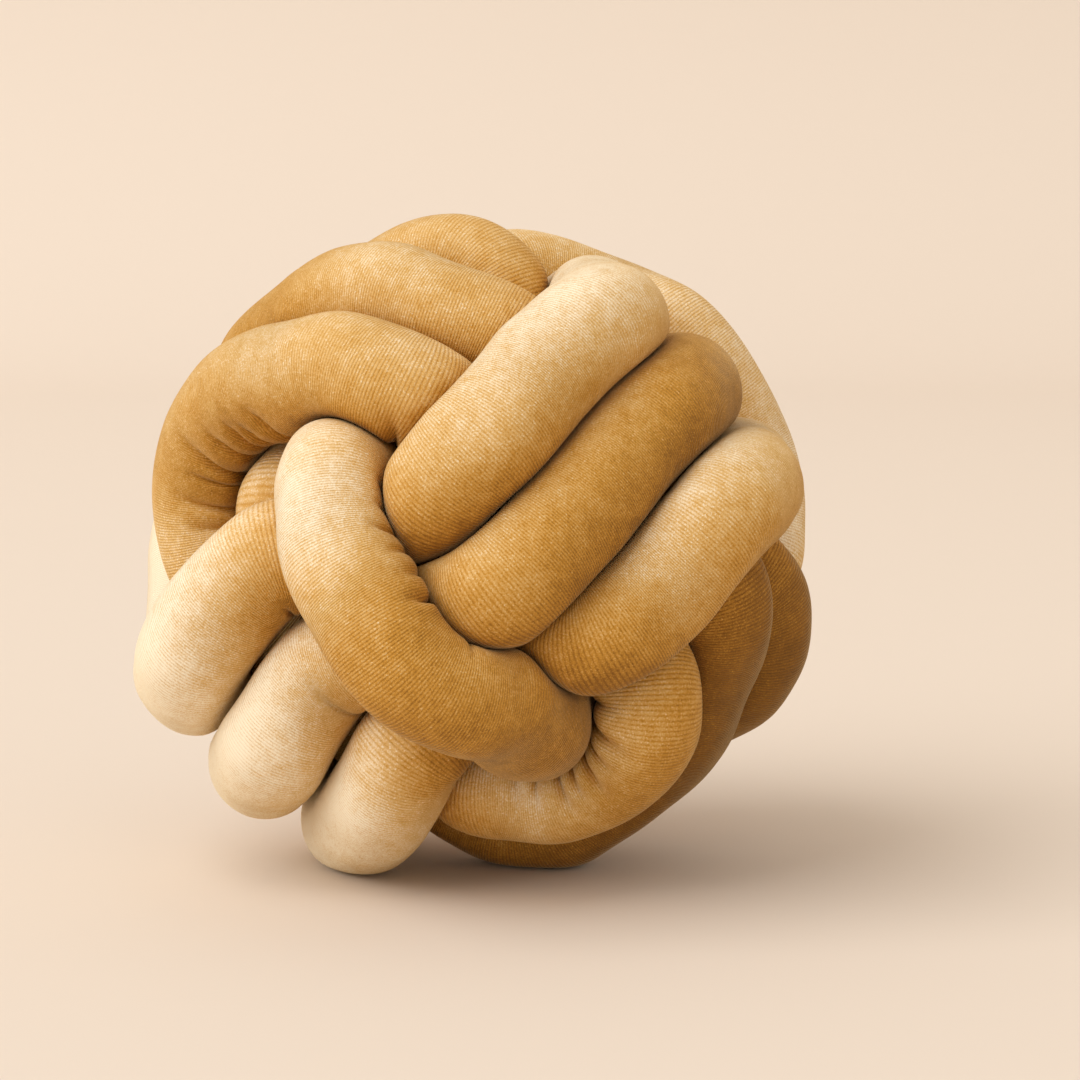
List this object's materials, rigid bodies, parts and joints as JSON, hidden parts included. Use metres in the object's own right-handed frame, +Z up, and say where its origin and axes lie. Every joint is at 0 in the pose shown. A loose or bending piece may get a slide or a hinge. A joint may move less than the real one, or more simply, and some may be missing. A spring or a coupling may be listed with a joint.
{
  "type": "knot cushion",
  "caption": "Ball-shaped cushion knotted from one long stuffed tube of ribbed velvet.",
  "frame": {"origin": "on the floor under the middle of the ball", "axes": "+Z up; -Y faces the camera, so the long visible turns face -Y; +X is the ball's wider way, to the camera's right"},
  "size_m": [0.3068, 0.2926, 0.295],
  "materials": {
    "velvet": "matte ribbed velvet with a pale sheen"
  },
  "bodies": {
    "root": {"knot_tube": "velvet"}
  },
  "joints": []
}
